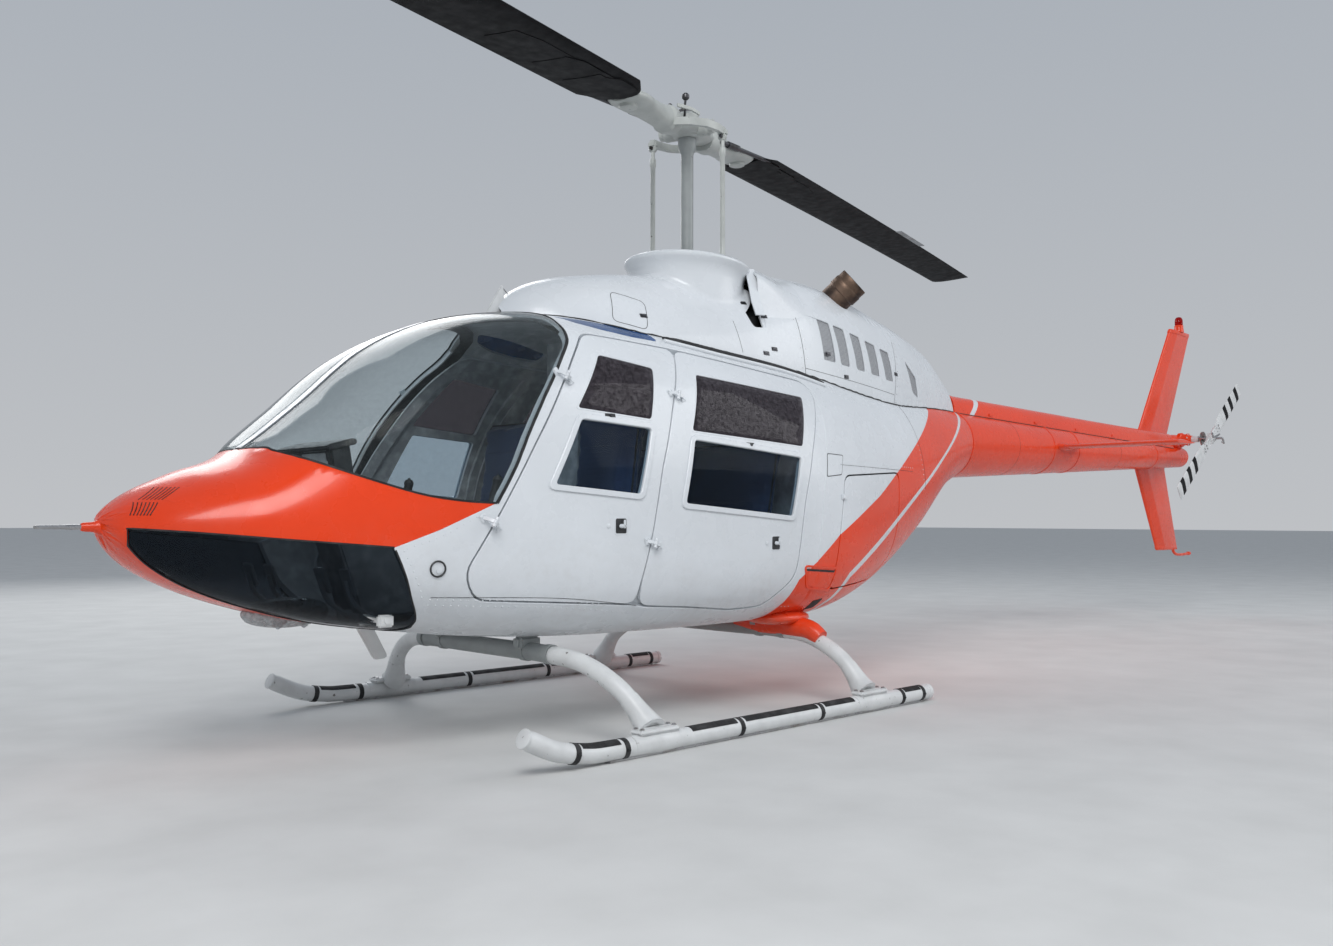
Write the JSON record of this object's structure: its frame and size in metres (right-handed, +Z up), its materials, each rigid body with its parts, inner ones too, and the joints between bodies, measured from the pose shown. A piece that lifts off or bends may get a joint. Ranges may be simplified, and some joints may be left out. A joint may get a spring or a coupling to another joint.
{
  "type": "light turbine helicopter on skids",
  "caption": "Light utility helicopter on skids with a teetering main rotor, a tail rotor, hinged cabin doors and a hinged baggage door.",
  "frame": {"origin": "on the ground that the skids stand on, under the middle of the whole length with the parked rotor, on the fuselage's middle plane", "axes": "+X to the nose, +Y to the pilot's left, +Z up"},
  "size_m": [11.5708, 3.316, 3.0027],
  "materials": {
    "white_paint": "gloss white enamel, slightly cool, a little dusty",
    "orange_paint": "gloss orange-red enamel",
    "grey_paint": "satin light grey paint with worn edges",
    "black_paint": "flat black blade paint with a worn leading edge",
    "bare_metal": "satin aluminium",
    "machinery_steel": "machined and cast metal",
    "burnt_steel": "heat-stained brown exhaust sheet",
    "clear_glazing": "clear acrylic",
    "dark_glazing": "grey tinted acrylic",
    "blue_glazing": "blue tinted acrylic",
    "seat_fabric": "navy blue woven upholstery",
    "cabin_trim": "grey textured cabin lining",
    "black_plastic": "matt black",
    "black_rubber": "seals and anti-slip strips",
    "red_lens": "red beacon lens"
  },
  "bodies": {
    "airframe": {"nose_shell": "orange_paint", "windshield_post": "bare_metal", "cabin_frame": "white_paint", "roof_shell": "white_paint", "aft_body": "white_paint", "cabin_bulkhead": "cabin_trim", "windshield_left": "clear_glazing", "windshield_right": "clear_glazing", "chin_window_left": "dark_glazing", "chin_window_right": "dark_glazing", "roof_window_left": "blue_glazing", "roof_window_right": "blue_glazing", "cabin_floor": "cabin_trim", "control_column_housing": "cabin_trim", "front_seat_left": "seat_fabric", "front_seat_right": "seat_fabric", "rear_bench": "seat_fabric", "instrument_console": "black_plastic", "cyclic_controls": "black_plastic", "transmission_cowl": "white_paint", "engine_cowl": "white_paint", "exhaust_stack_left": "burnt_steel", "exhaust_stack_right": "burnt_steel", "engine_block": "machinery_steel", "transmission_block": "machinery_steel", "tail_boom": "orange_paint", "driveshaft_cover": "orange_paint", "stabiliser": "orange_paint", "vertical_fin": "orange_paint", "tail_skid": "white_paint", "beacon": "red_lens", "tail_gearbox": "white_paint", "skid_left": "white_paint", "skid_right": "white_paint", "crosstube_front": "white_paint", "crosstube_rear": "white_paint", "pitot_tube": "machinery_steel"},
    "main_rotor": {"rotor_mast": "bare_metal", "pitch_link_left": "bare_metal", "pitch_link_right": "bare_metal", "rotor_hub": "grey_paint", "rotor_blade_1": "black_paint", "rotor_blade_2": "black_paint"},
    "tail_rotor": {"tail_rotor_hub": "bare_metal", "tail_rotor_blade_1": "white_paint", "tail_rotor_blade_2": "white_paint"},
    "front_left_door": {"front_door_left": "white_paint", "front_door_window_left": "clear_glazing"},
    "front_right_door": {"front_door_right": "white_paint", "front_door_window_right": "clear_glazing"},
    "rear_left_door": {"rear_door_left": "white_paint", "rear_door_window_left": "clear_glazing"},
    "rear_right_door": {"rear_door_right": "white_paint", "rear_door_window_right": "clear_glazing"},
    "baggage_lid": {"baggage_door": "white_paint"}
  },
  "joints": [
    {"name": "main_rotor_spin", "type": "hinge", "parent": "airframe", "child": "main_rotor", "pos_m": [0.892, 0, 2.785], "axis": [0, 0, 1], "continuous": true},
    {"name": "tail_rotor_spin", "type": "hinge", "parent": "airframe", "child": "tail_rotor", "pos_m": [-5.071, 0.3, 1.535], "axis": [0, 1, 0], "continuous": true},
    {"name": "front_left_door_swing", "type": "hinge", "parent": "airframe", "child": "front_left_door", "pos_m": [2.135, 0.586, 1.401], "axis": [0.5372, 0.0632, -0.8411], "range_deg": [0, 75]},
    {"name": "front_right_door_swing", "type": "hinge", "parent": "airframe", "child": "front_right_door", "pos_m": [2.135, -0.586, 1.401], "axis": [-0.5372, 0.0632, 0.8411], "range_deg": [0, 75]},
    {"name": "rear_left_door_swing", "type": "hinge", "parent": "airframe", "child": "rear_left_door", "pos_m": [1.562, 0.615, 1.367], "axis": [0.2922, 0.0938, -0.9517], "range_deg": [0, 75]},
    {"name": "rear_right_door_swing", "type": "hinge", "parent": "airframe", "child": "rear_right_door", "pos_m": [1.562, -0.615, 1.367], "axis": [-0.2922, 0.0938, 0.9517], "range_deg": [0, 75]},
    {"name": "baggage_door_swing", "type": "hinge", "parent": "airframe", "child": "baggage_lid", "pos_m": [-0.176, 0.545, 0.87], "axis": [0, 0, 1], "range_deg": [0, 90]}
  ]
}
